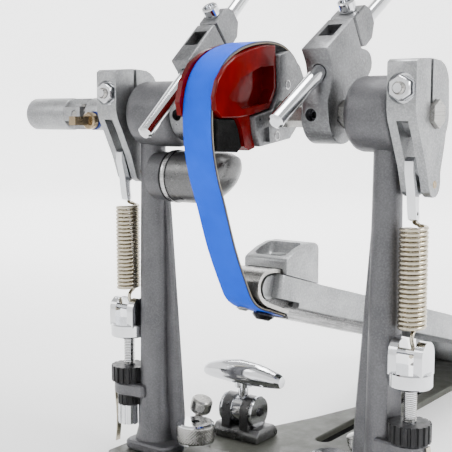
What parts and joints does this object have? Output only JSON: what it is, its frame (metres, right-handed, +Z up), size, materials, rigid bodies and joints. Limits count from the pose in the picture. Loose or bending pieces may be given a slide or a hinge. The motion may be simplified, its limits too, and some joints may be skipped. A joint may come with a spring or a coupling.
{
  "type": "bass drum pedal",
  "caption": "Belt-driven bass drum pedal, the main unit of a double pedal, with two coaxial axles, a red cam, spring adjusters, a hoop clamp and a footboard.",
  "frame": {"origin": "on the floor under the axle, half-way between the two posts", "axes": "+X to the image-right post, along the axle; +Y from the drum to the heel; +Z up"},
  "size_m": [0.281, 0.427, 0.359],
  "materials": {
    "grey_casting": "fine-grained hammered grey powder coat",
    "silver_casting": "cast, tumbled, satin",
    "chrome": "polished",
    "steel": "satin",
    "olive_plate": "satin olive-grey coat",
    "black_plastic": "matt",
    "black_steel": "black oxide",
    "black_felt": "pressed felt",
    "white_felt": "pressed felt",
    "red_plastic": "glossy, slightly translucent",
    "blue_strap": "woven strap with a dark cut edge",
    "brass_screw": "yellow zinc plate",
    "blue_nylon": "satin"
  },
  "bodies": {
    "stand": {"base_plate": "olive_plate", "post_left": "grey_casting", "post_right": "grey_casting", "bearing_left": "steel", "bearing_right": "steel", "clamp_block": "silver_casting", "jaw_pin": "steel", "stop_barrel": "silver_casting", "lock_screw_left": "steel", "lock_screw_right": "steel", "heel_plate": "silver_casting", "heel_pin": "steel", "tension_rod_left": "chrome", "tension_rod_right": "chrome", "spring_clevis_left": "chrome", "spring_clevis_right": "chrome", "lock_nut_left": "black_plastic", "lock_nut_right": "black_plastic"},
    "main_axle": {"main_shaft": "steel", "hub_right": "silver_casting", "hub_cap_right": "silver_casting", "cap_bolt_right": "chrome", "rocker_right": "silver_casting", "rocker_bolt_right": "chrome", "cam": "red_plastic", "cam_carrier": "silver_casting", "cam_felt": "black_felt"},
    "second_axle": {"second_shaft": "steel", "hub_left": "silver_casting", "hub_cap_left": "silver_casting", "cap_bolt_left": "chrome", "rocker_left": "silver_casting", "rocker_bolt_left": "chrome", "ujoint_yoke": "silver_casting", "ujoint_key_bolt": "brass_screw", "key_washer": "blue_nylon"},
    "footboard": {"footboard": "silver_casting", "under_rail": "steel", "toe_bracket": "steel", "toe_stop": "silver_casting", "belt_bolt": "black_steel", "belt_screw": "steel"},
    "belt_run": {"belt": "blue_strap"},
    "beater_left": {"beater_rod_left": "chrome", "beater_head_left": "white_felt"},
    "beater_right": {"beater_rod_right": "chrome", "beater_head_right": "white_felt"},
    "spring_swing_left": {"spring_left": "steel"},
    "spring_swing_right": {"spring_right": "steel"},
    "stirrup_left": {"stirrup_left": "chrome"},
    "stirrup_right": {"stirrup_right": "chrome"},
    "tension_wheel_left": {"tension_wheel_left": "black_plastic"},
    "tension_wheel_right": {"tension_wheel_right": "black_plastic"},
    "spur_left": {"spur_collar_left": "chrome"},
    "spur_right": {"spur_collar_right": "chrome"},
    "ujoint_cross": {"ujoint_cross": "steel"},
    "ujoint_socket": {"ujoint_socket": "silver_casting"},
    "hoop_jaw": {"hoop_jaw": "olive_plate"},
    "clamp_eye": {"clamp_eye": "chrome"},
    "clamp_wing": {"clamp_wing": "chrome"}
  },
  "joints": [
    {"name": "main_axle_turn", "type": "hinge", "parent": "stand", "child": "main_axle", "pos_m": [0, 0, 0.207], "axis": [1, 0, 0], "range_deg": [0, 50], "stiffness_Nm_per_rad": 0.6, "springref_deg": -40.11},
    {"name": "second_axle_turn", "type": "hinge", "parent": "stand", "child": "second_axle", "pos_m": [0, 0, 0.207], "axis": [1, 0, 0], "range_deg": [0, 50], "stiffness_Nm_per_rad": 0.6, "springref_deg": -40.11},
    {"name": "footboard_tilt", "type": "hinge", "parent": "stand", "child": "footboard", "pos_m": [0, 0.286, 0.03], "axis": [1, 0, 0], "range_deg": [0, 9]},
    {"name": "belt_swing", "type": "hinge", "parent": "main_axle", "child": "belt_run", "pos_m": [0, -0.0458, 0.2399], "axis": [1, 0, 0], "range_deg": [-50, 0], "deforming": ["belt"]},
    {"name": "beater_left_slide", "type": "slide", "parent": "second_axle", "child": "beater_left", "axis": [0, 0.749, 0.6626], "range_m": [-0.02, 0.02]},
    {"name": "beater_right_slide", "type": "slide", "parent": "main_axle", "child": "beater_right", "axis": [0, 0.848, 0.5299], "range_m": [-0.02, 0.02]},
    {"name": "spring_left_swing", "type": "hinge", "parent": "stand", "child": "spring_swing_left", "pos_m": [-0.094, -0.0045, 0.09], "axis": [1, 0, 0], "range_deg": [-15, 0]},
    {"name": "spring_left_stretch", "type": "slide", "parent": "spring_swing_left", "child": "stirrup_left", "axis": [0, 0, 1], "range_m": [0, 0.018], "deforming": ["spring_left"]},
    {"name": "spring_right_swing", "type": "hinge", "parent": "stand", "child": "spring_swing_right", "pos_m": [0.094, -0.0045, 0.09], "axis": [1, 0, 0], "range_deg": [-15, 0]},
    {"name": "spring_right_stretch", "type": "slide", "parent": "spring_swing_right", "child": "stirrup_right", "axis": [0, 0, 1], "range_m": [0, 0.018], "deforming": ["spring_right"]},
    {"name": "tension_wheel_left_turn", "type": "hinge", "parent": "stand", "child": "tension_wheel_left", "pos_m": [-0.094, -0.0045, 0.0496], "axis": [0, 0, 1], "continuous": true},
    {"name": "tension_wheel_right_turn", "type": "hinge", "parent": "stand", "child": "tension_wheel_right", "pos_m": [0.094, -0.0045, 0.0496], "axis": [0, 0, 1], "continuous": true},
    {"name": "spur_left_turn", "type": "hinge", "parent": "stand", "child": "spur_left", "pos_m": [-0.046, 0, 0.014], "axis": [0, 0, 1], "continuous": true},
    {"name": "spur_right_turn", "type": "hinge", "parent": "stand", "child": "spur_right", "pos_m": [0.046, 0, 0.014], "axis": [0, 0, 1], "continuous": true},
    {"name": "ujoint_cross_turn", "type": "hinge", "parent": "second_axle", "child": "ujoint_cross", "pos_m": [-0.133, 0, 0.207], "axis": [0, 0, 1], "range_deg": [-20, 20]},
    {"name": "ujoint_socket_turn", "type": "hinge", "parent": "ujoint_cross", "child": "ujoint_socket", "pos_m": [-0.133, 0, 0.207], "axis": [0, 1, 0], "range_deg": [-20, 20]},
    {"name": "hoop_jaw_open", "type": "hinge", "parent": "stand", "child": "hoop_jaw", "pos_m": [0, -0.014, 0.012], "axis": [-1, 0, 0], "range_deg": [0, 12]},
    {"name": "clamp_eye_tilt", "type": "hinge", "parent": "stand", "child": "clamp_eye", "pos_m": [-0.0446, 0.0468, 0.0224], "axis": [1, 0, 0], "range_deg": [-12, 12]},
    {"name": "clamp_wing_turn", "type": "hinge", "parent": "clamp_eye", "child": "clamp_wing", "pos_m": [-0.0446, 0.0468, 0.0464], "axis": [0, 0, 1], "continuous": true}
  ],
  "couplings": [
    {"joint": "footboard_tilt", "follows": "main_axle_turn", "ratio": 0.172},
    {"joint": "belt_swing", "follows": "main_axle_turn", "ratio": -1},
    {"joint": "spring_left_swing", "follows": "second_axle_turn", "ratio": -0.2935},
    {"joint": "spring_left_stretch", "follows": "second_axle_turn", "m_per_rad": 0.0203},
    {"joint": "spring_right_swing", "follows": "main_axle_turn", "ratio": -0.2935},
    {"joint": "spring_right_stretch", "follows": "main_axle_turn", "m_per_rad": 0.0203}
  ]
}
